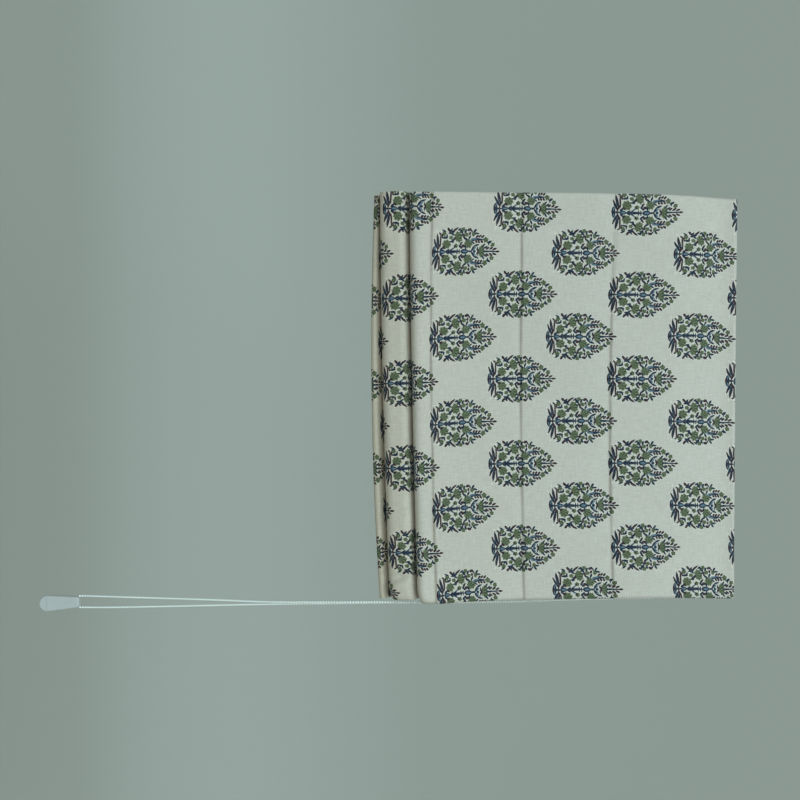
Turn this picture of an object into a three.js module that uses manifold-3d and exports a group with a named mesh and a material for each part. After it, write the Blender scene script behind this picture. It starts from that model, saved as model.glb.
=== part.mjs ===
// A printed roman shade, half raised, on its head board, with the bead chain that raises it.
// Millimetres, +Z up. X runs across the shade, and a person in the room looks along +Y.
// The origin is the middle of the head board's top face, which is screwed up under a lintel.

import * as THREE from "three";
import { mergeVertices } from "three/addons/utils/BufferGeometryUtils.js";
import Module from "manifold-3d";

const wasm = await Module();
wasm.setup();

// Pieces that touch keep this much air between them.
const SEAT_GAP = 0.3;

// Points this near each other are one, and a moulded corner has this many facets.
const MERGE_WITHIN = 1e-4;
const CORNER_SEGMENTS = 4;

// The head board, a planed and painted batten.
const BOARD_DEPTH = 40;
const BOARD_HEIGHT = 22;
const BOARD_LEFT = -450;
const BOARD_RIGHT = 437;
const BOARD_EDGE_RADIUS = 1.5;

// The plastic cap on the board's left end.
const CAP_THICKNESS = 3;
const CAP_EDGE_BEVEL = 0.8;
const CAP_CORNER_RADIUS = 3;

// The chain drive on the board's right end.
const DRIVE_WIDTH = 17;
const DRIVE_DEPTH = 36;
const DRIVE_TOP = -1;
const DRIVE_BOTTOM = -44;
const DRIVE_CORNER_RADIUS = 5;
const DRIVE_EDGE_BEVEL = 1.5;
const DRIVE_SOCKET_DEPTH = 8;

// The bead chain, and the clearance of the sockets that it runs into.
const CHAIN_DIAMETER = 4.5;
const CHAIN_SIDES = 8;
const CHAIN_STEPS = 38;
const SOCKET_RADIUS = 3.2;
const SOCKET_SIDES = 12;

// The tensioner, a teardrop housing that holds the loop's lower end.
const TENSIONER_RADIUS = 17.6;
const TENSIONER_TOP_WIDTH = 24;
const TENSIONER_LENGTH = 88;
const TENSIONER_TOP_RADIUS = 6;
const TENSIONER_THICKNESS = 15;
const TENSIONER_BEVEL = 3;
const TENSIONER_CENTRE = new THREE.Vector3(450.4, -120, -1536);
const TENSIONER_LEAN = THREE.MathUtils.degToRad(2.3);
const TENSIONER_SOCKET_DEPTH = 14;
const COVER_LINE_WIDTH = 1.2;
const COVER_LINE_DEPTH = 0.8;
const COVER_LINE_LENGTH = 27;

// The cloth: one piece of printed linen, 914 mm wide, its top edge fixed along the board's front.
// A bend's curve takes at most this share of the way to the next bend.
const CLOTH_THICKNESS = 2;
const CLOTH_COLUMNS = 24;
const MOST_TURN_SHARE = 0.48;
const HEADING_Y = -(BOARD_DEPTH / 2 + SEAT_GAP + CLOTH_THICKNESS / 2);

// The cloth's bends, from the top edge to the hem. out is how far the bend stands out from the
// heading into the room. leftDrop, midDrop and rightDrop are how far it is below the board's top at
// the left edge, in the middle and at the right edge. left and right are the edges' places. turn is
// how far before and after the bend the cloth curves, in steps, and rows is how many rows the
// straight run down to the next bend has. sway says how much of the width's slow waves it takes.
const BEND_COLUMNS = [
  "at", "out", "leftDrop", "midDrop", "rightDrop", "left", "right", "turn", "steps", "rows", "sway",
];
const BENDS = [
  ["top edge", 0, -9, -4, -1, -456.5, 457.5, 0, 0, 1, 0],
  ["heading", 1, 24, 24, 24, -457, 457.5, 9, 2, 0, 0.1],
  ["below the board", 23, 86, 86, 86, -457, 453, 16, 2, 0, 0.5],
  ["shoulder", 41, 156, 156, 156, -457, 449.5, 24, 2, 2, 1],
  ["above crease 1", 57.5, 271, 284, 276, -457, 448, 0, 0, 0, 1],
  ["crease 1", 56.6, 279, 292, 284, -457, 448, 0, 0, 0, 0.7],
  ["below crease 1", 60.5, 288, 301, 293, -457, 448, 0, 0, 3, 1],
  ["above crease 2", 69.5, 481, 484, 477, -457, 448, 0, 0, 0, 1],
  ["crease 2", 67.5, 489, 492, 485, -457, 448, 0, 0, 0, 0.7],
  ["below crease 2", 70.5, 497, 500, 493, -457, 448.2, 0, 0, 2, 1],
  ["lower ply", 74, 602, 600, 598, -457, 451, 20, 2, 0, 1],
  ["above crease 3", 80, 682, 684, 673, -457, 455.5, 0, 0, 0, 0.8],
  ["crease 3", 78, 690, 692, 681, -457, 456, 0, 0, 0, 0.5],
  ["below crease 3", 82, 701, 698, 691, -457, 456, 0, 0, 0, 0.5],
  ["fold 1 front", 86, 741, 734.5, 722.5, -457, 456, 34, 4, 0, 0.4],
  ["fold 1 back", 42, 740, 733.5, 721.5, -457, 451.5, 32, 4, 1, 0.3],
  ["tuck 1 back", 53, 604, 600, 592, -457.5, 450, 6, 2, 0, 0.2],
  ["tuck 1 front", 44, 604, 600, 592, -459, 447, 6, 2, 1, 0.2],
  ["behind fold 1", 36, 733, 728, 717, -460, 448, 14, 2, 0, 0.3],
  ["ply 2 front", 70, 755, 749, 737, -460.5, 449, 13, 2, 0, 0.4],
  ["fold 2 front", 62, 807, 800, 785, -460.5, 450, 20, 4, 0, 0.4],
  ["fold 2 back", 28, 806, 799, 784, -460, 449, 22, 4, 1, 0.3],
  ["tuck 2 back", 35, 622, 618, 608, -458, 448, 6, 2, 0, 0.2],
  ["tuck 2 front", 26, 622, 618, 608, -457, 448, 6, 2, 1, 0.2],
  ["behind fold 2", 16, 797, 792, 777, -456.5, 449, 10, 2, 0, 0.3],
  ["hem front", 45, 813, 817, 800, -456, 450, 8, 2, 0, 0.4],
  ["hem", 37, 820, 826.5, 808, -456, 450, 0, 0, 0, 0.4],
].map((row) => Object.fromEntries(BEND_COLUMNS.map((column, k) => [column, row[k]])));

// Slow waves across the width: height, length and where along the width they start.
const SWAYS = [
  { height: 1.8, length: 610, start: 60 },
  { height: 0.9, length: 268, start: -35 },
];

// The two runs of the chain, from the drive down to the tensioner, chosen by hand. The loop leaves
// the drive's wheel front and back, and comes round the tensioner's wheel left and right.
const FRONT_RUN = [
  [452, -12, -38.3], [452, -12, -52], [452.6, -12.2, -80], [455, -14, -130], [457, -17, -190],
  [458, -22, -290], [459.5, -33, -420], [460.4, -46, -545], [459.6, -54, -630], [458, -62.5, -720],
  [456.8, -71, -820], [455.5, -79.5, -930], [452.8, -90, -1066], [447.2, -98, -1170],
  [441.6, -107, -1296], [436.6, -115.5, -1410], [434.6, -119, -1456], [434.4, -120, -1470],
];
const BACK_RUN = [
  [452, 12, -38.3], [452, 12, -52], [452.7, 11, -80], [455.4, 7, -130], [457.8, 1, -190],
  [460, -8, -290], [462.4, -20, -420], [463.8, -34, -545], [463, -43, -630], [461.6, -52.5, -720],
  [460.4, -62.5, -820], [459.8, -73, -930], [459.3, -85.5, -1066], [459.5, -95.5, -1170],
  [460.4, -106, -1296], [460.4, -115.5, -1410], [459.6, -119, -1456], [459.3, -120, -1470],
];

const colours = {
  linen: 0xb7bcab,
  paint: 0xe9e8e2,
  plastic: 0xeceeec,
};

function material(colour, roughness) {
  return new THREE.MeshStandardMaterial({ color: colour, roughness, metalness: 0 });
}

function named(name, geometry, finish) {
  const mesh = new THREE.Mesh(geometry, finish);
  mesh.name = name;
  return mesh;
}

// A closed geometry as a solid that can be joined and cut, and back again.
function toSolid(geometry) {
  const bare = geometry.clone();
  bare.deleteAttribute("normal");
  bare.deleteAttribute("uv");
  const merged = mergeVertices(bare, MERGE_WITHIN);
  return new wasm.Manifold(new wasm.Mesh({
    numProp: 3,
    vertProperties: new Float32Array(merged.attributes.position.array),
    triVerts: new Uint32Array(merged.index.array),
  }));
}

function toGeometry(solid) {
  const { vertProperties, triVerts } = solid.getMesh();
  const geometry = new THREE.BufferGeometry();
  geometry.setAttribute("position", new THREE.BufferAttribute(vertProperties, 3));
  geometry.setIndex(new THREE.BufferAttribute(triVerts, 1));
  geometry.computeVertexNormals();
  return geometry;
}

// A value across the width from its values at the left edge, the middle and the right edge.
function across(left, middle, right, u) {
  return middle + ((right - left) / 2) * u + ((right + left) / 2 - middle) * u * u;
}

function swayAt(x) {
  return SWAYS.reduce(
    (sum, wave) => sum + wave.height * Math.sin((2 * Math.PI * (x - wave.start)) / wave.length), 0);
}

// The points of one column of the cloth, from the top edge down. u is -1 at the left edge and 1 at
// the right. Between bends the cloth is straight, and at a bend it follows a parabola.
function columnPoints(u) {
  const corners = BENDS.map((bend) => {
    const x = across(bend.left, (bend.left + bend.right) / 2, bend.right, u);
    const y = HEADING_Y - bend.out - bend.sway * swayAt(x);
    return new THREE.Vector3(x, y, -across(bend.leftDrop, bend.midDrop, bend.rightDrop, u));
  });
  const points = [];
  let last = null;
  BENDS.forEach((bend, i) => {
    const corner = corners[i];
    const before = corners[Math.max(i - 1, 0)];
    const after = corners[Math.min(i + 1, corners.length - 1)];
    const start = corner.clone().lerp(before, turnShare(bend.turn, corner, before));
    const end = corner.clone().lerp(after, turnShare(bend.turn, corner, after));
    if (last) {
      const rows = BENDS[i - 1].rows;
      for (let k = 1; k <= rows; k += 1) {
        points.push(last.clone().lerp(start, k / (rows + 1)));
      }
    }
    if (bend.steps === 0) {
      points.push(corner.clone());
    } else {
      points.push(...new THREE.QuadraticBezierCurve3(start, corner, end).getPoints(bend.steps));
    }
    last = end;
  });
  return points;
}

// How much of the way to its neighbour a bend's curve takes: under half, so that curves never meet.
function turnShare(turn, corner, neighbour) {
  const run = corner.distanceTo(neighbour);
  return run > 0 ? Math.min(turn / run, MOST_TURN_SHARE) : 0;
}

// The cloth as one closed sheet, with half its thickness on either side of its middle surface.
function clothGeometry() {
  const columns = [];
  for (let j = 0; j <= CLOTH_COLUMNS; j += 1) {
    columns.push(columnPoints((2 * j) / CLOTH_COLUMNS - 1));
  }
  const rowCount = columns[0].length;
  const positions = [];
  const half = CLOTH_THICKNESS / 2;
  for (const side of [1, -1]) {
    for (let j = 0; j <= CLOTH_COLUMNS; j += 1) {
      for (let i = 0; i < rowCount; i += 1) {
        const down = columns[j][Math.min(i + 1, rowCount - 1)].clone()
          .sub(columns[j][Math.max(i - 1, 0)]);
        const over = columns[Math.min(j + 1, CLOTH_COLUMNS)][i].clone()
          .sub(columns[Math.max(j - 1, 0)][i]);
        const normal = down.cross(over).normalize();
        const point = columns[j][i].clone().addScaledVector(normal, side * half);
        positions.push(point.x, point.y, point.z);
      }
    }
  }
  const sheet = (CLOTH_COLUMNS + 1) * rowCount;
  const faces = [];
  const quad = (a, b, c, d) => faces.push(a, b, c, a, c, d);
  for (let j = 0; j < CLOTH_COLUMNS; j += 1) {
    for (let i = 0; i + 1 < rowCount; i += 1) {
      const a = j * rowCount + i;
      quad(a, a + 1, a + 1 + rowCount, a + rowCount);
      quad(sheet + a, sheet + a + rowCount, sheet + a + 1 + rowCount, sheet + a + 1);
    }
    const top = j * rowCount;
    const foot = top + rowCount - 1;
    quad(top, top + rowCount, sheet + top + rowCount, sheet + top);
    quad(foot, sheet + foot, sheet + foot + rowCount, foot + rowCount);
  }
  const lastColumn = CLOTH_COLUMNS * rowCount;
  for (let i = 0; i + 1 < rowCount; i += 1) {
    quad(i, sheet + i, sheet + i + 1, i + 1);
    const a = lastColumn + i;
    quad(a, a + 1, sheet + a + 1, sheet + a);
  }
  const geometry = new THREE.BufferGeometry();
  geometry.setAttribute("position", new THREE.Float32BufferAttribute(positions, 3));
  geometry.setIndex(faces);
  geometry.computeVertexNormals();
  return geometry;
}

// A rounded rectangle around the origin.
function roundedRectangle(width, height, radius) {
  const x = width / 2;
  const y = height / 2;
  const shape = new THREE.Shape();
  shape.moveTo(-x + radius, -y);
  shape.lineTo(x - radius, -y);
  shape.absarc(x - radius, -y + radius, radius, -Math.PI / 2, 0);
  shape.lineTo(x, y - radius);
  shape.absarc(x - radius, y - radius, radius, 0, Math.PI / 2);
  shape.lineTo(-x + radius, y);
  shape.absarc(-x + radius, y - radius, radius, Math.PI / 2, Math.PI);
  shape.lineTo(-x, -y + radius);
  shape.absarc(-x + radius, -y + radius, radius, Math.PI, 1.5 * Math.PI);
  return shape;
}

// An outline drawn across the depth and height, pushed along +X from x.
function alongX(shape, x, length, bevel) {
  const geometry = new THREE.ExtrudeGeometry(shape, {
    depth: length - 2 * bevel,
    bevelEnabled: bevel > 0,
    bevelThickness: bevel,
    bevelSize: bevel,
    bevelOffset: -bevel,
    bevelSegments: 2,
    curveSegments: CORNER_SEGMENTS,
  });
  geometry.translate(0, 0, bevel);
  geometry.rotateX(Math.PI / 2);
  geometry.rotateZ(Math.PI / 2);
  geometry.translate(x, 0, 0);
  return geometry;
}

function headBoard() {
  const section = roundedRectangle(BOARD_DEPTH, BOARD_HEIGHT, BOARD_EDGE_RADIUS);
  const geometry = alongX(section, BOARD_LEFT, BOARD_RIGHT - BOARD_LEFT, 0);
  geometry.translate(0, 0, -BOARD_HEIGHT / 2);
  return named("head_board", geometry, material(colours.paint, 0.5));
}

function endCap() {
  const section = roundedRectangle(BOARD_DEPTH, BOARD_HEIGHT, CAP_CORNER_RADIUS);
  const x = BOARD_LEFT - SEAT_GAP - CAP_THICKNESS;
  const geometry = alongX(section, x, CAP_THICKNESS, CAP_EDGE_BEVEL);
  geometry.translate(0, 0, -BOARD_HEIGHT / 2);
  return named("end_cap", geometry, material(colours.plastic, 0.4));
}

// An upright round bar of a socket's width, from a height down by a depth.
function socketCut(x, y, top, depth) {
  const bar = new THREE.CylinderGeometry(SOCKET_RADIUS, SOCKET_RADIUS, depth, SOCKET_SIDES);
  bar.rotateX(Math.PI / 2);
  bar.translate(x, y, top - depth / 2);
  return toSolid(bar);
}

function driveUnit() {
  const height = DRIVE_TOP - DRIVE_BOTTOM;
  const section = roundedRectangle(DRIVE_DEPTH, height, DRIVE_CORNER_RADIUS);
  const geometry = alongX(section, BOARD_RIGHT + SEAT_GAP, DRIVE_WIDTH, DRIVE_EDGE_BEVEL);
  geometry.translate(0, 0, (DRIVE_TOP + DRIVE_BOTTOM) / 2);
  let solid = toSolid(geometry);
  for (const run of [FRONT_RUN, BACK_RUN]) {
    const [x, y, z] = run[0];
    const roof = z + SEAT_GAP;
    solid = solid.subtract(socketCut(x, y, roof, DRIVE_SOCKET_DEPTH));
  }
  return named("chain_drive", toGeometry(solid), material(colours.plastic, 0.4));
}

// One run of the bead chain, as a plain round cord of the beads' width.
function chainRun(name, run) {
  const places = run.map((place) => new THREE.Vector3(...place));
  const path = new THREE.CatmullRomCurve3(places, false, "centripetal");
  const section = new THREE.Shape();
  for (let k = 0; k < CHAIN_SIDES; k += 1) {
    const turn = (2 * Math.PI * k) / CHAIN_SIDES;
    const x = (CHAIN_DIAMETER / 2) * Math.cos(turn);
    const y = (CHAIN_DIAMETER / 2) * Math.sin(turn);
    if (k === 0) {
      section.moveTo(x, y);
    } else {
      section.lineTo(x, y);
    }
  }
  const geometry = new THREE.ExtrudeGeometry(section, { extrudePath: path, steps: CHAIN_STEPS });
  return named(name, geometry, material(colours.plastic, 0.35));
}

// The tensioner's outline, with the round end's centre at the origin and the narrow end up.
function teardrop() {
  const reach = TENSIONER_LENGTH - TENSIONER_RADIUS;
  const top = TENSIONER_TOP_WIDTH / 2;
  const corner = TENSIONER_TOP_RADIUS;
  const flank = Math.asin((TENSIONER_RADIUS - top) / reach);
  const shape = new THREE.Shape();
  shape.absarc(0, 0, TENSIONER_RADIUS, Math.PI - flank, 2 * Math.PI + flank);
  shape.absarc(top - corner, reach - corner, corner, flank, Math.PI / 2);
  shape.absarc(-top + corner, reach - corner, corner, Math.PI / 2, Math.PI - flank);
  shape.closePath();
  return shape;
}

function tensioner() {
  const blank = new THREE.ExtrudeGeometry(teardrop(), {
    depth: TENSIONER_THICKNESS - TENSIONER_BEVEL,
    bevelThickness: TENSIONER_BEVEL,
    bevelSize: TENSIONER_BEVEL,
    bevelOffset: -TENSIONER_BEVEL,
    bevelSegments: 3,
    curveSegments: 2 * CORNER_SEGMENTS + 2,
  });
  blank.rotateX(Math.PI / 2);
  blank.translate(0, TENSIONER_THICKNESS / 2, 0);
  const line = new THREE.BoxGeometry(COVER_LINE_LENGTH, 2 * COVER_LINE_DEPTH, COVER_LINE_WIDTH);
  line.translate(0, -TENSIONER_THICKNESS / 2, 0);
  const behind = new THREE.BoxGeometry(TENSIONER_LENGTH, TENSIONER_THICKNESS, 3 * TENSIONER_LENGTH);
  behind.translate(0, TENSIONER_THICKNESS, 0);
  const solid = toSolid(blank).subtract(toSolid(behind)).subtract(toSolid(line));
  const placed = toGeometry(solid);
  placed.rotateY(-TENSIONER_LEAN);
  placed.translate(...TENSIONER_CENTRE.toArray());
  let housing = toSolid(placed);
  for (const run of [FRONT_RUN, BACK_RUN]) {
    const [x, y, z] = run[run.length - 1];
    const mouth = z - SEAT_GAP + TENSIONER_SOCKET_DEPTH;
    housing = housing.subtract(socketCut(x, y, mouth, TENSIONER_SOCKET_DEPTH));
  }
  return named("tensioner", toGeometry(housing), material(colours.plastic, 0.35));
}

const shade = new THREE.Group();
shade.add(
  named("shade_cloth", clothGeometry(), material(colours.linen, 0.9)),
  headBoard(),
  endCap(),
  driveUnit(),
  chainRun("chain_front", FRONT_RUN),
  chainRun("chain_back", BACK_RUN),
  tensioner(),
);

export default shade;
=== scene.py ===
import math

import bmesh
import bpy
import numpy as np
from mathutils import Matrix, Vector, noise


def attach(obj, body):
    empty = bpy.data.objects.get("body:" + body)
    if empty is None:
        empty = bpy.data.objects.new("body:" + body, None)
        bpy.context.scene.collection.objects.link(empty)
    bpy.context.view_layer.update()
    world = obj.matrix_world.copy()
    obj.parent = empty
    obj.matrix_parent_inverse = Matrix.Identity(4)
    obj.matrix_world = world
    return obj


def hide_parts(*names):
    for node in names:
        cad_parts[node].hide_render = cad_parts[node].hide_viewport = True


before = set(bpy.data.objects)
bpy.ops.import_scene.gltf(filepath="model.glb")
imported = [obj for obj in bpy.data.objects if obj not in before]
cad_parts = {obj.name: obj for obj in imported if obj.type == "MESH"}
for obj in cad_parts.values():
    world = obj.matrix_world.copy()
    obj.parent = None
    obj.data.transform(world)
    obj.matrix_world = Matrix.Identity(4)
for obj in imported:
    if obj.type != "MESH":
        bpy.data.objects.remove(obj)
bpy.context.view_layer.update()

# The camera. It looks level at the shade's lower half from 2.54 m in front of the heading, and is
# turned on its side, so the top of the shade is at the right of the picture.
MM = 0.001
CAMERA_PLACE = (4 * MM, -2561 * MM, -762 * MM)
camera_data = bpy.data.cameras.new("front_camera")
camera_data.lens = 50
camera_data.sensor_width = 36
camera = bpy.data.objects.new("front_camera", camera_data)
camera.matrix_world = Matrix((
    (0, -1, 0, CAMERA_PLACE[0]),
    (0, 0, -1, CAMERA_PLACE[1]),
    (1, 0, 0, CAMERA_PLACE[2]),
    (0, 0, 0, 1),
))
bpy.context.collection.objects.link(camera)
bpy.context.scene.camera = camera

# The head board: a planed softwood batten that the cloth's top edge is fixed along. It is screwed
# up through its flat top, and has two coats of satin paint, brushed along its length.
BRUSH_MARK_LENGTH = 160
BRUSH_MARK_WIDTH = 2.5
BRUSH_MARK_DEPTH = 0.2


def hex_linear(code):
    """An sRGB hex colour as linear red, green, blue and alpha."""
    parts = [int(code[k:k + 2], 16) / 255 for k in (1, 3, 5)]
    return [c / 12.92 if c <= 0.04045 else ((c + 0.055) / 1.055)**2.4 for c in parts] + [1]


def add_node(tree, kind, inputs, give=0, **settings):
    """Adds a node with its settings and its inputs, each a value or a link, and gives an output."""
    node = tree.nodes.new("ShaderNode" + kind)
    for name, setting in settings.items():
        setattr(node, name, setting)
    for key, value in inputs.items():
        if isinstance(value, bpy.types.NodeSocket):
            tree.links.new(value, node.inputs[key])
        else:
            node.inputs[key].default_value = value
    return node.outputs[give]


satin_paint = bpy.data.materials.new("satin_paint_brushed_on_softwood")
satin_paint.use_nodes = True
tree = satin_paint.node_tree
shader = tree.nodes["Principled BSDF"]
place = add_node(tree, "TexCoord", {}, "Object")
scale = (1 / (BRUSH_MARK_LENGTH * MM), 1 / (BRUSH_MARK_WIDTH * MM), 1 / (BRUSH_MARK_WIDTH * MM))
brushed = add_node(tree, "Mapping", {"Vector": place, "Scale": scale})
strokes = add_node(tree, "TexNoise", {"Vector": brushed, "Scale": 1, "Detail": 4})
tint = add_node(
    tree, "Mix", {0: strokes, 6: hex_linear("#D9D8D0"), 7: hex_linear("#E8E7E1")}, 2, data_type="RGBA")
tree.links.new(tint, shader.inputs["Base Color"])
shader.inputs["Roughness"].default_value = 0.42
ridges = add_node(
    tree, "Bump", {"Strength": 0.3, "Distance": BRUSH_MARK_DEPTH * MM, "Height": strokes}, "Normal")
tree.links.new(ridges, shader.inputs["Normal"])
bpy.data.objects["head_board"].material_slots[0].material = satin_paint

# The end cap, the chain drive and the tensioner: moulded in white ABS, smooth and semi-gloss, with a
# faint cloudy flow in it. Its white is painted down to a grey, a painted shade standing in for the
# shade the tensioner hangs in. The cap and the drive are pushed on the board's ends, and the
# tensioner sits at the foot of the chain's loop.
FLOW_SIZE = 22
moulded = bpy.data.materials.new("moulded_white_abs_painted_shade")
moulded.use_nodes = True
tree = moulded.node_tree
shader = tree.nodes["Principled BSDF"]
place = add_node(tree, "TexCoord", {}, "Object")
flow = add_node(tree, "TexNoise", {"Vector": place, "Scale": 1 / (FLOW_SIZE * MM), "Detail": 3})
# Painted shade: the white plastic is tinted grey.
tint = add_node(
    tree, "Mix", {0: flow, 6: hex_linear("#ACABA9"), 7: hex_linear("#B9B8B6")}, 2, data_type="RGBA")
tree.links.new(tint, shader.inputs["Base Color"])
shader.inputs["Roughness"].default_value = 0.36
shader.inputs["IOR"].default_value = 1.53
for name in ("end_cap", "chain_drive", "tensioner"):
    bpy.data.objects[name].material_slots[0].material = moulded

# The bead chain: white polyester beads of 4.5 mm, moulded every 6 mm on one endless cord. The loop
# leaves the drive's wheel front and back, and comes round the tensioner's wheel left and right.
BEAD_PITCH = 6 * MM
BEAD_SIDES = 10
# The beads are a touch duller in patches of this size, where hands pull them.
HANDLED_PATCH = 16
# One bead and its bit of cord: how far along the pitch, and how thick, in millimetres.
BEAD_RINGS = ((-2.2, 0.45), (-1.9, 1.2), (-1.2, 1.9), (0, 2.25), (1.2, 1.9), (1.9, 1.2), (2.2, 0.45))
# Where each run of the loop goes, from the drive down to the tensioner, in millimetres, and how many
# steps its smooth line has between two of these places.
FRONT_RUN = (
    (452, -12, -38.3), (452, -12, -52), (452.6, -12.2, -80), (455, -14, -130),
    (457, -17, -190), (458, -22, -290), (459.5, -33, -420), (460.4, -46, -545),
    (459.6, -54, -630), (458, -62.5, -720), (456.8, -71, -820), (455.5, -79.5, -930),
    (452.8, -90, -1066), (447.2, -98, -1170), (441.6, -107, -1296), (436.6, -115.5, -1410),
    (434.6, -119, -1456), (434.4, -120, -1470),
)
BACK_RUN = (
    (452, 12, -38.3), (452, 12, -52), (452.7, 11, -80), (455.4, 7, -130),
    (457.8, 1, -190), (460, -8, -290), (462.4, -20, -420), (463.8, -34, -545),
    (463, -43, -630), (461.6, -52.5, -720), (460.4, -62.5, -820), (459.8, -73, -930),
    (459.3, -85.5, -1066), (459.5, -95.5, -1170), (460.4, -106, -1296), (460.4, -115.5, -1410),
    (459.6, -119, -1456), (459.3, -120, -1470),
)
LINE_STEPS = 40


def smooth_line(places):
    """A fine smooth line through the places, in metres, with its length up to each point."""
    p = np.array(places) * MM
    knots = np.concatenate([[0], np.cumsum(np.linalg.norm(np.diff(p, axis=0), axis=1))])
    slopes = np.gradient(p, knots, axis=0)
    fine = []
    for k in range(len(p) - 1):
        t = np.linspace(0, 1, LINE_STEPS, endpoint=k == len(p) - 2)[:, None]
        run = knots[k + 1] - knots[k]
        fine.append(
            (2 * t**3 - 3 * t**2 + 1) * p[k] + (t**3 - 2 * t**2 + t) * run * slopes[k]
            + (3 * t**2 - 2 * t**3) * p[k + 1] + (t**3 - t**2) * run * slopes[k + 1])
    fine = np.concatenate(fine)
    along = np.concatenate([[0], np.cumsum(np.linalg.norm(np.diff(fine, axis=0), axis=1))])
    return fine, along


def bead_run(name, places):
    """The beads and the cord between them as one closed tube, and the middle of its rings."""
    line, along = smooth_line(places)
    count = int(along[-1] / BEAD_PITCH)
    first = (along[-1] - (count - 1) * BEAD_PITCH) / 2
    at = [first + k * BEAD_PITCH + ring * MM for k in range(count) for ring, _ in BEAD_RINGS]
    thick = [radius * MM for _ in range(count) for _, radius in BEAD_RINGS]
    middle = np.stack([np.interp(at, along, line[:, k]) for k in range(3)], axis=1)
    ahead = np.gradient(middle, axis=0)
    ahead /= np.linalg.norm(ahead, axis=1)[:, None]
    side = np.cross(ahead, (0, 1, 0))
    side /= np.linalg.norm(side, axis=1)[:, None]
    up = np.cross(side, ahead)
    mesh = bmesh.new()
    rings = []
    for place, s, u, radius in zip(middle, side, up, thick):
        turns = [2 * math.pi * k / BEAD_SIDES for k in range(BEAD_SIDES)]
        rings.append([
            mesh.verts.new(place + radius * (math.cos(a) * s + math.sin(a) * u)) for a in turns])
    for one, two in zip(rings, rings[1:]):
        for k in range(BEAD_SIDES):
            mesh.faces.new((one[k], one[k - 1], two[k - 1], two[k]))
    mesh.faces.new(rings[0])
    mesh.faces.new(rings[-1][::-1])
    bmesh.ops.recalc_face_normals(mesh, faces=mesh.faces)
    for face in mesh.faces:
        face.smooth = True
    data = bpy.data.meshes.new(name)
    mesh.to_mesh(data)
    mesh.free()
    piece = bpy.data.objects.new(name, data)
    bpy.context.collection.objects.link(piece)
    return piece, middle, float(along[-1])


# Moulded polyester beads: smooth, a little glossy, and a nearly neutral white.
bead_plastic = bpy.data.materials.new("moulded_polyester_beads")
bead_plastic.use_nodes = True
tree = bead_plastic.node_tree
shader = tree.nodes["Principled BSDF"]
shader.inputs["Roughness"].default_value = 0.32
shader.inputs["IOR"].default_value = 1.57
place = add_node(tree, "TexCoord", {}, "Object")
handled = add_node(tree, "TexNoise", {"Vector": place, "Scale": 1 / (HANDLED_PATCH * MM), "Detail": 3})
tint = add_node(
    tree, "Mix", {0: handled, 6: hex_linear("#EEEDEA"), 7: hex_linear("#F9F8F5")}, 2, data_type="RGBA")
tree.links.new(tint, shader.inputs["Base Color"])

for name, places in (("chain_front", FRONT_RUN), ("chain_back", BACK_RUN)):
    run, middle, length = bead_run(name + "_beads", places)
    run.data.materials.append(bead_plastic)
    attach(run, "root")
    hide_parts(name)

# The cloth: one cut of printed linen, 914 mm wide, fixed along the board by its top edge. The lift
# has drawn its lower half up into two fat soft folds, with the hem ply hanging behind them.
CLOTH_WIDTH = 914
HEADING_Y = -21.3
CLOTH_COLUMNS = 132
CLOTH_THICKNESS = 1.1
# The bends from the top edge to the hem, in millimetres: how far each stands out from the heading,
# how far below the board's top it is at the left edge, in the middle and at the right edge, where
# the edges are, how far before and after it the cloth curves, how much it sways, and how far the
# last of it is lifted at the right edge.
BENDS = (
    ("top edge", 0, -9, -4, -1, -456.5, 457.5, 0, 0, 0),
    ("heading", 1, 24, 24, 24, -457, 457.5, 20, 0.1, 0),
    ("below the board", 23, 86, 86, 86, -457, 453, 90, 0.5, 0),
    ("shoulder", 41, 156, 156, 156, -457, 449.5, 90, 1, 0),
    ("upper ply", 58.5, 288, 285, 282, -457, 448, 90, 1, 0),
    ("middle ply", 70, 490, 488, 486, -457, 448, 100, 1, 0),
    ("lower ply", 74, 602, 600, 598, -457, 451, 60, 1, 0),
    ("above the fold", 82, 693, 690, 684, -457, 456, 20, 0.6, 0),
    ("fold 1 front", 86, 741, 734.5, 722.5, -457, 456, 34, 0.4, 7),
    ("fold 1 back", 42, 740, 733.5, 721.5, -457, 451.5, 32, 0.3, 7),
    ("tuck 1 back", 53, 604, 600, 592, -457.5, 450, 6, 0.2, 0),
    ("tuck 1 front", 44, 604, 600, 592, -459, 447, 6, 0.2, 0),
    ("behind fold 1", 36, 733, 728, 717, -460, 448, 14, 0.3, 3),
    ("ply 2 front", 70, 755, 749, 737, -460.5, 449, 13, 0.4, 5),
    ("fold 2 front", 62, 807, 800, 785, -460.5, 450, 20, 0.4, 7),
    ("fold 2 back", 28, 806, 799, 784, -460, 449, 22, 0.3, 7),
    ("tuck 2 back", 35, 622, 618, 608, -458, 448, 6, 0.2, 0),
    ("tuck 2 front", 26, 622, 618, 608, -457, 448, 6, 0.2, 0),
    ("behind fold 2", 16, 797, 792, 777, -456.5, 449, 10, 0.3, 0),
    ("hem front", 45, 813, 817, 800, -456, 450, 8, 0.4, 0),
    ("hem", 37, 820, 826.5, 808, -456, 450, 0, 0.4, 0),
)
# How many points the curve of each bend has.
BEND_POINTS = 17
# The part of the width, from the middle to the right edge, where that lift begins.
LIFT_FROM = 0.93
# Slow waves across the width: height, length and where along the width they start.
SWAYS = ((1.8, 610, 60), (0.9, 268, -35))
# Old fold lines pressed across the front ply: how far down at the left edge, in the middle and at
# the right edge, and how deep. Each is a small step back that runs out again below it.
CREASES = ((277, 292, 284, 4.8), (489, 492.5, 485, 4.4), (689.5, 692, 680.5, 5))
CREASE_WIDTH = 1
CREASE_RUN = 38
# How far a crease wavers and over what length, and how much its depth varies and over what length.
CREASE_WAVER = (1.6, 120)
CREASE_UNEVEN = (0.6, 90)
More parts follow.
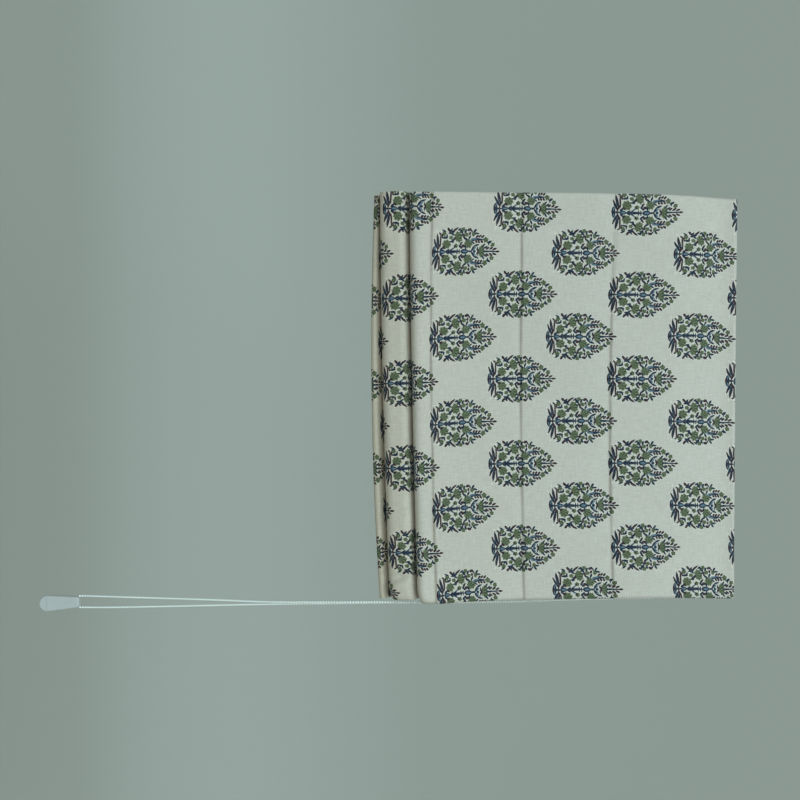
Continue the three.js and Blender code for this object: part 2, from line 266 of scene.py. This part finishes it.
# Near a crease, a fold and a tuck the cloth's rows are closer: how near, and how far apart they are.
CREASE_ROWS = (13, 1.6)
FOLD_ROWS = (24, 3)
TUCK_ROWS = (12, 3)
PLAIN_STEP = 7

across = np.linspace(-1, 1, CLOTH_COLUMNS + 1)


def over_width(left, middle, right):
    """A value for each column from its values at the left edge, the middle and the right edge."""
    return middle + (right - left) / 2 * across + ((right + left) / 2 - middle) * across**2


corners = []
for _, out, left_drop, mid_drop, right_drop, left, right, _, sway, lift in BENDS:
    x = over_width(left, (left + right) / 2, right)
    waves = sum(h * np.sin(2 * math.pi * (x - start) / long) for h, long, start in SWAYS)
    lifted = lift * np.clip((across - LIFT_FROM) / (1 - LIFT_FROM), 0, 1)**2
    z = lifted - over_width(left_drop, mid_drop, right_drop)
    corners.append(np.stack([x, HEADING_Y - out - sway * waves, z], axis=1))

# Each column runs straight from bend to bend and curves at the bends, each curve taking less than
# half of the straight beside it.
rows = [corners[0]]
turns = [0]
curves = [bend[7] for bend in BENDS]
for k in range(1, len(corners) - 1):
    ends = []
    for other in (corners[k - 1], corners[k + 1]):
        run = np.linalg.norm(other - corners[k], axis=1)[:, None]
        ends.append(corners[k] + (other - corners[k]) * np.minimum(curves[k] / run, 0.49))
    rows += [rows[-1] + (ends[0] - rows[-1]) * t for t in (0.25, 0.5, 0.75)]
    for t in np.linspace(0, 1, BEND_POINTS):
        rows.append((1 - t)**2 * ends[0] + 2 * t * (1 - t) * corners[k] + t * t * ends[1])
    turns.append(len(rows) - 1 - BEND_POINTS // 2)
rows.append(corners[-1])
rows = np.array(rows)

# How far down the cloth each row is, measured along it, and the rows it is laid out with: close
# together round the folds and the creases, and far apart where nothing bends.
tape = np.linalg.norm(np.diff(rows, axis=0), axis=2).mean(axis=1)
tape = np.concatenate([[0], np.cumsum(tape)])
turn_at = {bend[0]: tape[row] for bend, row in zip(BENDS, turns)}
front_rows = turns[[bend[0] for bend in BENDS].index("fold 1 front")]
middle_drop = -rows[:front_rows, CLOTH_COLUMNS // 2, 2]
fine = [(np.interp(drop, middle_drop, tape[:front_rows]), *CREASE_ROWS) for _, drop, _, _ in CREASES]
fine += [(at, *FOLD_ROWS) for name, at in turn_at.items() if name.startswith(("fold", "ply", "hem "))]
fine += [(at, *TUCK_ROWS) for name, at in turn_at.items() if name.startswith(("tuck", "behind"))]
down = [0]
while down[-1] < tape[-1] - 2:
    step = min([step for at, near, step in fine if abs(down[-1] - at) < near], default=PLAIN_STEP)
    down.append(min(down[-1] + step, tape[-1]))
down = np.array(down)
cloth = np.stack([
    [np.interp(down, tape, rows[:, j, k]) for j in range(CLOTH_COLUMNS + 1)] for k in range(3)])
cloth = cloth.transpose(2, 1, 0)

# The hand of the linen: slow unevenness, the creases, edges that curl back a little, and the slack
# bunched into a slanting wrinkle near the right end of the second ply.

# Each unevenness: how far it stands out, how long it is across and down, and a place in the noise.
UNEVEN = ((3.2, 190, 260, 3.1), (1.1, 60, 95, 7.4))
# It comes in over this length below the top edge, and is held back by this much behind the front.
FIRM_LENGTH = 160
BEHIND_FRONT = 0.4
# How far the side edges curl back, and from which part of the half width. The left one does so at the
# top, less and less down this length, and the right one at the first fold, over this length.
EDGE_CURL = 5
LEFT_CURL_FROM = 0.975
LEFT_CURL_LENGTH = 90
RIGHT_CURL_FROM = 0.97
RIGHT_CURL_DOWN = 735
RIGHT_CURL_LENGTH = 40
# Where the wrinkle is across and in height, how much it leans, how tall it is, and its hollow and its
# ridge: how far to the right, how wide, and how far back.
WRINKLE_PLACE = (399, -765)
WRINKLE_LEAN = 0.3
WRINKLE_HEIGHT = 26
WRINKLE_PARTS = ((0, 8, 10), (20, 12, -7))

crease_lines = [over_width(left, middle, right) for left, middle, right, _ in CREASES]
for i, at in enumerate(down):
    front = at < turn_at["fold 1 back"]
    second = turn_at["tuck 1 front"] < at < turn_at["fold 2 back"]
    loose = min(1, at / FIRM_LENGTH) * (1 if front else BEHIND_FRONT)
    for j in range(CLOTH_COLUMNS + 1):
        x, y, z = cloth[i, j]
        for height, wide, tall, start in UNEVEN:
            y += loose * height * noise.noise((x / wide, at / tall, start))
        if front:
            for line, (_, middle, _, deep) in zip(crease_lines, CREASES):
                waver = CREASE_WAVER[0] * noise.noise((x / CREASE_WAVER[1], middle, 0.5))
                strong = 1 + CREASE_UNEVEN[0] * noise.noise((x / CREASE_UNEVEN[1], middle, 9.5))
                below = -z - line[j] - waver
                step = 1 / (1 + math.exp(-max(-30, min(30, below / CREASE_WIDTH))))
                y += strong * deep * step * math.exp(-max(0, below) / CREASE_RUN)
            curl = max(0, (-across[j] - LEFT_CURL_FROM) / (1 - LEFT_CURL_FROM))**2
            y += EDGE_CURL * curl * math.exp(-at / LEFT_CURL_LENGTH)
            curl = max(0, (across[j] - RIGHT_CURL_FROM) / (1 - RIGHT_CURL_FROM))**2
            y += EDGE_CURL * curl * math.exp(-((at - RIGHT_CURL_DOWN) / RIGHT_CURL_LENGTH)**2)
        if second:
            above = z - WRINKLE_PLACE[1]
            slant = (x - WRINKLE_PLACE[0]) + WRINKLE_LEAN * above
            for beside, wide, deep in WRINKLE_PARTS:
                y += deep * math.exp(-((slant - beside) / wide)**2 - (above / WRINKLE_HEIGHT)**2)
        cloth[i, j, 1] = y

# The printer's half rows fall a little unevenly down the cloth: where each one's foot is, and how far
# apart they were meant to be.
HALF_ROWS = (-122, 24, 170, 311, 448, 580, 709, 850, 990, 1131, 1266, 1400, 1535, 1670)
HALF_ROW = 134
# Where a block was set off its place: how far across from the middle and how far down the cloth,
# and how far it went to the right and down. Its neighbours this near go with it.
SLIPS = (
    (-317, 100, 0, -9),
    (-132, 100, -6, 2),
    (-415, 241, 6, 0),
    (-323, 377, 2, -9),
    (-132, 377, 0, 4),
    (-415, 510, -2, -7),
    (-421, 750, -6, -13),
    (-314, 1145, 0, -12),
    (434, 1145, -9, 4),
)
SLIP_REACH = 80
# The lower rows run off to the right: how far, from where across and down the cloth, and over what
# length it grows.
RUN_OFF = 12
RUN_OFF_FROM = (-440, 620)
RUN_OFF_GROWS = 220
# The rows on the hem ply were set higher: how far, how much more in a stretch right of the middle,
# where that is and how wide, and over what length down the cloth it grows.
HEM_RISE = 2
MORE_RISE = 7
MORE_RISE_AT = 110
MORE_RISE_WIDTH = 230
HEM_RISE_GROWS = 150

x = np.broadcast_to(across * CLOTH_WIDTH / 2, cloth.shape[:2])
v = np.broadcast_to(down[:, None], cloth.shape[:2])
run_off = np.clip((v - RUN_OFF_FROM[1]) / RUN_OFF_GROWS, 0, 1)
run_off = run_off * np.clip((x - RUN_OFF_FROM[0]) / RUN_OFF_GROWS, 0, 1)
printed_across = x - RUN_OFF * run_off
printed_down = np.interp(v, HALF_ROWS, HALF_ROW * (np.arange(len(HALF_ROWS)) - 1))
for slip_x, slip_v, right, lower in SLIPS:
    near = np.exp(-((x - slip_x)**2 + (v - slip_v)**2) / SLIP_REACH**2)
    printed_across = printed_across - right * near
    printed_down = printed_down - lower * near
on_hem = np.clip((v - turn_at["fold 2 back"]) / HEM_RISE_GROWS, 0, 1)
more = MORE_RISE * np.exp(-((x - MORE_RISE_AT) / MORE_RISE_WIDTH)**2)
printed_down = printed_down + on_hem * (HEM_RISE + more)

mesh = bmesh.new()
chart = mesh.loops.layers.uv.new("cloth")
points = [[mesh.verts.new(Vector(place) * MM) for place in row] for row in cloth]
for i in range(len(points) - 1):
    for j in range(CLOTH_COLUMNS):
        square = ((i, j), (i + 1, j), (i + 1, j + 1), (i, j + 1))
        face = mesh.faces.new([points[a][b] for a, b in square])
        face.smooth = True
        for loop, (a, b) in zip(face.loops, square):
            loop[chart].uv = (printed_across[a, b] * MM, printed_down[a, b] * MM)
data = bpy.data.meshes.new("shade_cloth_sheet")
mesh.to_mesh(data)
mesh.free()
shade = bpy.data.objects.new("shade_cloth_sheet", data)
bpy.context.collection.objects.link(shade)
body = shade.modifiers.new("body", "SOLIDIFY")
body.thickness = CLOTH_THICKNESS * MM
body.offset = 0
body.material_offset = 1

# The print: a flowering tree in a drop shape, stamped by hand in half-drop rows. One half is drawn
# here and mirrored. Each row is ink, kind of stroke, how far from the middle line and how far above
# the foot its centre is, half its length, half its width, all in millimetres, and its slope.
MOTIF = (
    ("navy", "petal", 0, 5, 11.4, 4, 0),
    ("blue", "leaf", 7, 5.6, 4.4, 1.1, 12),
    ("maroon", "leaf", 0, 2.2, 7, 1.5, 0),
    ("navy", "leaf", 0, 13, 8, 1.9, 90),
    ("maroon", "leaf", 9.6, 15.6, 9, 2, 22),
    ("maroon", "petal", 25, 19, 12.4, 1.6, -1),
    ("maroon", "petal", 38.6, 17, 3.2, 1.5, -46),
    ("navy", "leaf", 22.6, 12.4, 13.6, 2.6, -15),
    ("maroon", "petal", 29.6, 12.6, 8, 1, -18),
    ("navy", "leaf", 15, 8.6, 12.2, 2.5, -27),
    ("maroon", "petal", 23.6, 4.9, 4.2, 1.3, -30),
    ("navy", "petal", 0, 25.5, 6.2, 4.4, 90),
    ("blue", "leaf", 0, 26, 5, 2.2, 90),
    ("navy", "leaf", 6.4, 22.4, 5, 2.2, 50),
    ("navy", "leaf", 0, 47, 21, 2.9, 90),
    ("navy", "leaf", 5, 46, 7.5, 1.4, 55),
    ("blue", "leaf", 8, 48.5, 5.5, 1, 58),
    ("navy", "leaf", 3, 37, 5, 1.5, 60),
    ("navy", "petal", 0, 58.8, 4.8, 1.2, 0),
    ("navy", "petal", 0, 63.8, 4.4, 1.2, 0),
    ("navy", "petal", 0, 75.8, 8.4, 5.4, 90),
    ("blue", "petal", 0, 76.8, 5.4, 2.3, 90),
    ("navy", "petal", 0, 88, 4.2, 1.9, 90),
    ("navy", "leaf", 6.6, 95.2, 7.5, 2.2, 34),
    ("navy", "leaf", 13.4, 103, 6.8, 1.9, 70),
    ("blue", "leaf", 6, 99.2, 6.5, 1.5, 40),
    ("navy", "petal", 0, 98.6, 3, 2.8, 90),
    ("navy", "leaf", 6, 105, 4.2, 1, 10),
    ("maroon", "petal", 0, 107.2, 4.8, 1.7, 0),
    ("green", "flower", 0, 115, 7.4, 13, 90),
    ("navy", "leaf", 9.2, 124, 4.8, 1.7, 50),
    ("navy", "leaf", 13.6, 119, 5, 1.7, 38),
    ("navy", "leaf", 0, 127, 9, 2, 90),
    ("navy", "leaf", 0, 139, 10, 1.3, 90),
    ("maroon", "leaf", 7.4, 128.4, 4.8, 2.1, 52),
    ("maroon", "leaf", 6.6, 136.2, 5, 2.2, 56),
    ("maroon", "leaf", 5.2, 144.2, 5.2, 2.1, 68),
    ("maroon", "leaf", 0, 150.6, 5.2, 2.1, 90),
    ("green", "flower", 17, 84, 9, 9.8, 55),
    ("navy", "leaf", 9.6, 77.6, 4.6, 1.8, -25),
    ("green", "flower", 32, 60.4, 9, 12, 75),
    ("maroon", "petal", 28.4, 51.8, 2.8, 2, 0),
    ("green", "flower", 16.2, 33.4, 9.8, 10, 55),
    ("maroon", "petal", 9.2, 27.2, 3.4, 2, -40),
    ("green", "bud", 14.6, 138.6, 5.2, 4.8, 45),
    ("green", "bud", 25.5, 123, 5.4, 6.4, 70),
    ("green", "bud", 38, 95.2, 4.4, 5.6, 100),
    ("green", "bud", 37.3, 79.5, 4.8, 4.6, 60),
    ("green", "bud", 49, 71.6, 4.8, 4.6, 30),
    ("green", "bud", 12.3, 55, 5.2, 4.8, 70),
    ("green", "bud", 31, 43.2, 4.8, 4.4, 90),
    ("green", "bud", 38.8, 26.8, 5.6, 5, 20),
    ("maroon", "petal", 11.6, 53, 2, 1.5, 0),
    ("navy", "leaf", 20.8, 131.5, 5.2, 2.5, 62),
    ("navy", "leaf", 17.6, 129.6, 4, 1.2, 0),
    ("navy", "leaf", 39.8, 102.4, 5.2, 1.9, 98),
    ("navy", "leaf", 45.6, 98, 4.8, 2.1, 40),
    ("navy", "leaf", 45.4, 90.4, 4, 1.4, -30),
    ("maroon", "petal", 48, 85.4, 4.4, 2.9, 70),
    ("maroon", "petal", 39.8, 87, 3.2, 2, 10),
    ("navy", "leaf", 36.6, 69.6, 4.6, 1.3, 60),
    ("maroon", "petal", 34.4, 73.2, 3.8, 1.9, -10),
    ("navy", "leaf", 44.8, 77, 5.2, 2, 25),
    ("navy", "petal", 43.6, 67.6, 5, 2.5, -40),
    ("navy", "leaf", 48.4, 62.6, 4.6, 1.9, 60),
    ("maroon", "leaf", 48.2, 53, 8.5, 2.2, 55),
    ("navy", "leaf", 41.8, 44, 8, 2.8, 75),
    ("navy", "leaf", 38, 47, 4.8, 1.8, 125),
    ("navy", "leaf", 45.4, 42.4, 6, 1.9, 40),
    ("navy", "leaf", 24.6, 48, 5, 2.7, 35),
    ("navy", "leaf", 21.4, 45.6, 4.6, 1.7, 105),
    ("maroon", "petal", 47.6, 36.6, 4.6, 2.5, -38),
    ("navy", "leaf", 30.4, 29.6, 6.4, 2.2, 85),
    ("navy", "leaf", 33.4, 33.4, 4.4, 1.6, 15),
    ("navy", "leaf", 45, 25.8, 5.6, 1.6, -62),
    ("maroon", "petal", 33, 22.4, 4.4, 1.3, -10),
    ("navy", "leaf", 26.7, 104, 14, 2.5, 92),
    ("blue", "leaf", 27.4, 98, 6.5, 1.6, 82),
    ("navy", "petal", 25, 96.2, 4, 2.4, 60),
    ("maroon", "petal", 32.8, 103.6, 3.5, 2, 38),
    ("maroon", "petal", 33.8, 109.8, 3.5, 2, 40),
    ("maroon", "petal", 33, 116, 3.8, 2.1, 44),
    ("maroon", "petal", 21.2, 102.4, 3, 2, 142),
    ("maroon", "petal", 21.2, 108.4, 3, 2, 142),
    ("maroon", "petal", 21.6, 114.8, 3.2, 2, 138),
    ("navy", "leaf", 18.4, 95.2, 4.6, 1.5, 125),
    ("blue", "leaf", 25, 90.2, 5.5, 1.6, 60),
    ("navy", "leaf", 31, 86.4, 5, 2, 25),
    ("navy", "leaf", 28.4, 77, 6.4, 2, -58),
    ("maroon", "petal", 11.8, 72, 3.5, 3.3, 90),
    ("navy", "leaf", 15.4, 66, 5.4, 1.8, 42),
    ("navy", "leaf", 9.2, 67, 4.8, 1.7, 132),
    ("navy", "petal", 12.4, 64.4, 2.8, 2.2, 0),
    ("maroon", "leaf", 19.2, 68, 4.6, 1.7, 50),
)
INKS = {"green": "#646C4E", "navy": "#15263A", "blue": "#5F7280", "maroon": "#36222A"}
# How far each ink has spread past its strokes into the threads, in millimetres.
INK_SPREAD = {"green": 0.15, "navy": 0.5, "blue": 0.1, "maroon": 0.45}
# How sharply an ink ends: one over the soft edge in millimetres.
INK_EDGE = 2.2
# How many lobes flowers and buds have, and how deep they are against the oval's own size.
LOBES = {"flower": (14, 0.13), "bud": (9, 0.16)}
# The dark veins fan out from a point this far behind the oval's middle and reach this far from its
# middle, both against its size. They are strongest between the lobes, and widened by a little.
VEIN = "#2A3529"
VEIN_ROOT = 0.9
VEIN_REACH = 1.1
VEIN_STRENGTH = 0.9
VEIN_WIDENED = 0.2
# The repeat: its pitch across and down, where its first column is, how much its rows sag towards
# the middle, how far a motif's own space reaches below its foot, and how high it is widest.
COLUMN_PITCH = 190.1
ROW_PITCH = 268
FIRST_COLUMN = -419.6
ROW_BOW = 12.5
BELOW_FOOT = 57
WIDEST = 70
# How far the line between two columns swings round the motifs, and how far a hand-cut block wavers
# and over what length.
SWING = 12
WAVER = 1.3
WAVER_LENGTH = 18

# Plain-woven linen, block printed: a dry matt oatmeal ground with slubs both ways, and inks that
# lie a little uneven on the threads.
printed = bpy.data.materials.new("plain_woven_linen_block_printed")
printed.use_nodes = True
tree = printed.node_tree
shader = tree.nodes["Principled BSDF"]

# Where on the cloth a point is, in millimetres, with the waver of the block.
chart = add_node(tree, "UVMap", {}, uv_map="cloth")
waver = add_node(
    tree, "TexNoise", {"Vector": chart, "Scale": 1 / (WAVER_LENGTH * MM), "Detail": 1}, "Color")
waver = add_node(tree, "VectorMath", {0: waver, 1: (2 * WAVER, 2 * WAVER, 0), 2: (-WAVER, -WAVER, 0)},
                 operation="MULTIPLY_ADD")
millimetres = add_node(tree, "VectorMath", {0: chart, 1: (1 / MM, 1 / MM, 0), 2: waver},
                       operation="MULTIPLY_ADD")
cloth_x = add_node(tree, "SeparateXYZ", {0: millimetres}, "X")
cloth_v = add_node(tree, "SeparateXYZ", {0: millimetres}, "Y")
bow = add_node(tree, "Math", {0: cloth_x, 1: CLOTH_WIDTH / 2}, operation="DIVIDE")
bow = add_node(tree, "Math", {0: bow, 1: bow}, operation="MULTIPLY")
row_place = add_node(tree, "Math", {0: bow, 1: ROW_BOW, 2: cloth_v}, operation="MULTIPLY_ADD")

# Each point belongs to a motif of the even columns or of the odd ones, half a row lower.
motif_places = []
for half in (0, 0.5):
    x = add_node(tree, "Math", {0: cloth_x, 1: FIRST_COLUMN + half * COLUMN_PITCH}, operation="SUBTRACT")
    x = add_node(tree, "Math", {0: x, 1: COLUMN_PITCH / 2, 2: -COLUMN_PITCH / 2}, operation="WRAP")
    x = add_node(tree, "Math", {0: x}, operation="ABSOLUTE")
    z = add_node(tree, "Math", {0: half * ROW_PITCH, 1: row_place}, operation="SUBTRACT")
    z = add_node(tree, "Math", {0: z, 1: ROW_PITCH - BELOW_FOOT, 2: -BELOW_FOOT}, operation="WRAP")
    motif_places.append((x, z))
(even_x, even_z), (odd_x, odd_z) = motif_places
turn = add_node(tree, "Math", {0: even_z, 1: WIDEST}, operation="SUBTRACT")
turn = add_node(tree, "Math", {0: turn, 1: 2 * math.pi / ROW_PITCH}, operation="MULTIPLY")
turn = add_node(tree, "Math", {0: turn}, operation="COSINE")
reach = add_node(tree, "Math", {0: turn, 1: SWING, 2: COLUMN_PITCH / 4}, operation="MULTIPLY_ADD")
even = add_node(tree, "Math", {0: even_x, 1: reach}, operation="LESS_THAN")
x = add_node(tree, "Mix", {0: even, 2: odd_x, 3: even_x})
z = add_node(tree, "Mix", {0: even, 2: odd_z, 3: even_z})
spot = add_node(tree, "CombineXYZ", {0: x, 1: z, 2: 1})

# How far each point is outside the nearest stroke of each ink, in millimetres. A leaf is the space
# between two arcs, a petal is an oval, and flowers and buds are ovals with lobes and dark veins.
nearest = {}
veins = None
for ink, kind, x, z, long, wide, slope in MOTIF:
    c, s = math.cos(math.radians(slope)), math.sin(math.radians(slope))
    long_unit, wide_unit = (1, 1) if kind == "leaf" else (long, wide)
    line = (c / long_unit, s / long_unit, -(x * c + z * s) / long_unit)
    along = add_node(tree, "VectorMath", {0: spot, 1: line}, "Value", operation="DOT_PRODUCT")
    line = (-s / wide_unit, c / wide_unit, (x * s - z * c) / wide_unit)
    beside = add_node(tree, "VectorMath", {0: spot, 1: line}, "Value", operation="DOT_PRODUCT")
    local = add_node(tree, "CombineXYZ", {0: along, 1: beside})
    if kind == "leaf":
        arc = (long * long + wide * wide) / (2 * wide)
        folded = add_node(tree, "VectorMath", {0: local}, operation="ABSOLUTE")
        far = add_node(tree, "VectorMath", {0: folded, 1: (0, wide - arc, 0)}, "Value",
                       operation="DISTANCE")
        gap = add_node(tree, "Math", {0: far, 1: arc}, operation="SUBTRACT")
    else:
        far = add_node(tree, "VectorMath", {0: local}, "Value", operation="LENGTH")
        if kind != "petal":
            lobes, deep = LOBES[kind]
            ahead = add_node(tree, "Math", {0: along, 1: VEIN_ROOT}, operation="ADD")
            angle = add_node(tree, "Math", {0: beside, 1: ahead}, operation="ARCTAN2")
            lobe = add_node(tree, "Math", {0: angle, 1: lobes}, operation="MULTIPLY")
            lobe = add_node(tree, "Math", {0: lobe}, operation="COSINE")
            vein = add_node(tree, "Math", {0: lobe, 1: -VEIN_STRENGTH, 2: VEIN_WIDENED},
                            operation="MULTIPLY_ADD")
            inside = add_node(tree, "Math", {0: far, 1: VEIN_REACH}, operation="LESS_THAN")
            vein = add_node(tree, "Math", {0: vein, 1: inside}, operation="MULTIPLY")
            veins = vein if veins is None else add_node(
                tree, "Math", {0: veins, 1: vein}, operation="MAXIMUM")
            far = add_node(tree, "Math", {0: lobe, 1: -deep, 2: far}, operation="MULTIPLY_ADD")
        gap = add_node(tree, "Math", {0: far, 1: wide, 2: -wide}, operation="MULTIPLY_ADD")
    nearest[ink] = gap if ink not in nearest else add_node(
        tree, "Math", {0: nearest[ink], 1: gap}, operation="MINIMUM")

# The threads, each a long streak. They are drawn about 2 mm wide, coarser than the real 0.6 mm, so
# that they show. Bleaching is uneven over a hand's width, and leaves small dull patches.
THREAD_STREAK = 24
THREAD_WIDTH = 2.1
THREAD_TONES = ("#C2B7AE", "#D6CBC3")
THREAD_RELIEF = 0.4
BLEACHED_PATCH = 200
DULL_PATCH = 7
DULL_TONE = "#E8E9E4"
threads = []
for streak in ((THREAD_STREAK, THREAD_WIDTH), (THREAD_WIDTH, THREAD_STREAK)):
    scale = (1 / (streak[0] * MM), 1 / (streak[1] * MM), 1)
    laid = add_node(tree, "Mapping", {"Vector": chart, "Scale": scale})
    threads.append(add_node(tree, "TexNoise", {"Vector": laid, "Scale": 1, "Detail": 4}))
slubs = add_node(tree, "Math", {0: threads[0], 1: threads[1]}, operation="ADD")
slubs = add_node(tree, "Math", {0: slubs, 1: 1.5, 2: -1}, operation="MULTIPLY_ADD", use_clamp=True)
dark, light = [hex_linear(tone) for tone in THREAD_TONES]
ground = add_node(tree, "Mix", {0: slubs, 6: dark, 7: light}, 2, data_type="RGBA")
bleached = add_node(
    tree, "TexNoise", {"Vector": chart, "Scale": 1 / (BLEACHED_PATCH * MM), "Detail": 3})
patch = add_node(tree, "TexNoise", {"Vector": chart, "Scale": 1 / (DULL_PATCH * MM), "Detail": 2})
dull = add_node(tree, "Math", {0: bleached, 1: patch}, operation="ADD")
dull = add_node(tree, "Math", {0: dull, 1: 0.3}, operation="MULTIPLY")
ground = add_node(tree, "Mix", {0: dull, 6: ground, 7: hex_linear(DULL_TONE)}, 2,
                  data_type="RGBA", blend_type="MULTIPLY")

# A paler line is left round every stroke, whole up to 0.8 mm from it and gone at 1.5 mm.
HALO_TONE = "#DED3C9"
HALO_EDGE = 1.3
HALO_START = 2
closest = None
for gap in nearest.values():
    closest = gap if closest is None else add_node(
        tree, "Math", {0: closest, 1: gap}, operation="MINIMUM")
halo = add_node(tree, "Math", {0: closest, 1: -HALO_EDGE, 2: HALO_START},
                operation="MULTIPLY_ADD", use_clamp=True)
colour = add_node(tree, "Mix", {0: halo, 6: ground, 7: hex_linear(HALO_TONE)}, 2, data_type="RGBA")

# Painted warm shade: the cloth is tinted warmer from this far down its length, and more and more
# towards the hem, standing in for the warm light bounced about in the shade of the lower folds.
WARM_SHADE_FROM = 420
WARM_SHADE_FULL = 1600
WARM_SHADE_TONE = "#FFF7E9"
# Painted warm shade of the lower plies, growing down the cloth.
warm_shade = add_node(
    tree, "MapRange", {"Value": cloth_v, "From Min": WARM_SHADE_FROM, "From Max": WARM_SHADE_FULL})
colour = add_node(tree, "Mix", {0: warm_shade, 6: colour, 7: hex_linear(WARM_SHADE_TONE)}, 2,
                  data_type="RGBA", blend_type="MULTIPLY")

# The inks, which cover a little less in the hollows between the threads.
LEAST_COVER = 0.9
MORE_ON_THREADS = 0.16
worn = add_node(tree, "Math", {0: slubs, 1: MORE_ON_THREADS, 2: LEAST_COVER},
                operation="MULTIPLY_ADD", use_clamp=True)
tones = {ink: hex_linear(tone) for ink, tone in INKS.items()}
tones["green"] = add_node(
    tree, "Mix", {0: veins, 6: tones["green"], 7: hex_linear(VEIN)}, 2, data_type="RGBA")
for ink, tone in tones.items():
    spread = 0.5 + INK_EDGE * INK_SPREAD[ink]
    cover = add_node(tree, "Math", {0: nearest[ink], 1: -INK_EDGE, 2: spread},
                     operation="MULTIPLY_ADD", use_clamp=True)
    cover = add_node(tree, "Math", {0: cover, 1: worn}, operation="MULTIPLY")
    colour = add_node(tree, "Mix", {0: cover, 6: colour, 7: tone}, 2, data_type="RGBA")
tree.links.new(colour, shader.inputs["Base Color"])
shader.inputs["Roughness"].default_value = 0.92
shader.inputs["Specular IOR Level"].default_value = 0.25
shader.inputs["Sheen Weight"].default_value = 0.12
shader.inputs["Sheen Roughness"].default_value = 0.5
weave = add_node(
    tree, "Bump", {"Strength": 0.35, "Distance": THREAD_RELIEF * MM, "Height": slubs}, "Normal")
tree.links.new(weave, shader.inputs["Normal"])
shade.data.materials.append(printed)

# The wrong side of the same linen, where the print shows through only as a ghost.
WRONG_SIDE_TONE = "#CFC3B8"
HIDDEN_PRINT = 0.82
wrong_side = printed.copy()
wrong_side.name = "plain_woven_linen_wrong_side"
tree = wrong_side.node_tree
shader = tree.nodes["Principled BSDF"]
colour = shader.inputs["Base Color"].links[0].from_socket
ghost = add_node(tree, "Mix", {0: HIDDEN_PRINT, 6: colour, 7: hex_linear(WRONG_SIDE_TONE)}, 2,
                 data_type="RGBA")
tree.links.new(ghost, shader.inputs["Base Color"])
shade.data.materials.append(wrong_side)

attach(shade, "root")
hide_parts("shade_cloth")

# The studio: a pale paper cove behind and below, lit by two broad soft suns from the upper left, one
# in front and one higher, by a wide weak lamp low in front at the right, and by a soft sky.
COVE_HALF_WIDTH = 9
# The cove's bend, in metres: how far back and how high.
COVE = ((-8, -2.4), (3, -2.4), (3.7, -2.25), (4.25, -1.85), (4.6, -1.3), (4.75, -0.6), (4.75, 6))
# Each sun: its name, the way its light goes, its power and how many degrees it spreads.
SUNS = (("front_light", (0.35, 1, -0.7), 1.8, 60), ("high_light", (0.2, 0.6, -1), 0.7, 50))
SUN_COLOUR = (0.7, 0.97, 1.06)
LAMP_COLOUR = (0.745, 0.98, 1)
LAMP_PLACE = (1.2, -3.9, -1.3)
LAMP_AIM = (0, 0, -0.6)

mesh = bmesh.new()
edges = [[mesh.verts.new((x, y, z)) for y, z in COVE] for x in (-COVE_HALF_WIDTH, COVE_HALF_WIDTH)]
for k in range(len(COVE) - 1):
    face = mesh.faces.new((edges[0][k], edges[1][k], edges[1][k + 1], edges[0][k + 1]))
    face.smooth = True
data = bpy.data.meshes.new("cove")
mesh.to_mesh(data)
mesh.free()
cove = bpy.data.objects.new("cove", data)
bpy.context.collection.objects.link(cove)
paper = bpy.data.materials.new("matt_paper_cove")
paper.use_nodes = True
shader = paper.node_tree.nodes["Principled BSDF"]
shader.inputs["Base Color"].default_value = hex_linear("#A29F98")
shader.inputs["Roughness"].default_value = 0.95
cove.data.materials.append(paper)

for name, ahead, power, spread in SUNS:
    sun = bpy.data.lights.new(name, "SUN")
    sun.angle = math.radians(spread)
    sun.energy = power
    sun.color = SUN_COLOUR
    stand = bpy.data.objects.new(name, sun)
    stand.rotation_euler = Vector(ahead).to_track_quat("-Z", "Y").to_euler()
    bpy.context.collection.objects.link(stand)
lamp = bpy.data.lights.new("low_light", "AREA")
lamp.size = 2.6
lamp.energy = 25
lamp.color = LAMP_COLOUR
stand = bpy.data.objects.new("low_light", lamp)
stand.location = LAMP_PLACE
stand.rotation_euler = (Vector(LAMP_AIM) - stand.location).to_track_quat("-Z", "Y").to_euler()
bpy.context.collection.objects.link(stand)
world = bpy.data.worlds.new("soft_sky")
world.use_nodes = True
world.node_tree.nodes["Background"].inputs["Color"].default_value = hex_linear("#F2F7E0")
world.node_tree.nodes["Background"].inputs["Strength"].default_value = 0.3
bpy.context.scene.world = world
bpy.context.scene.view_settings.view_transform = "Standard"
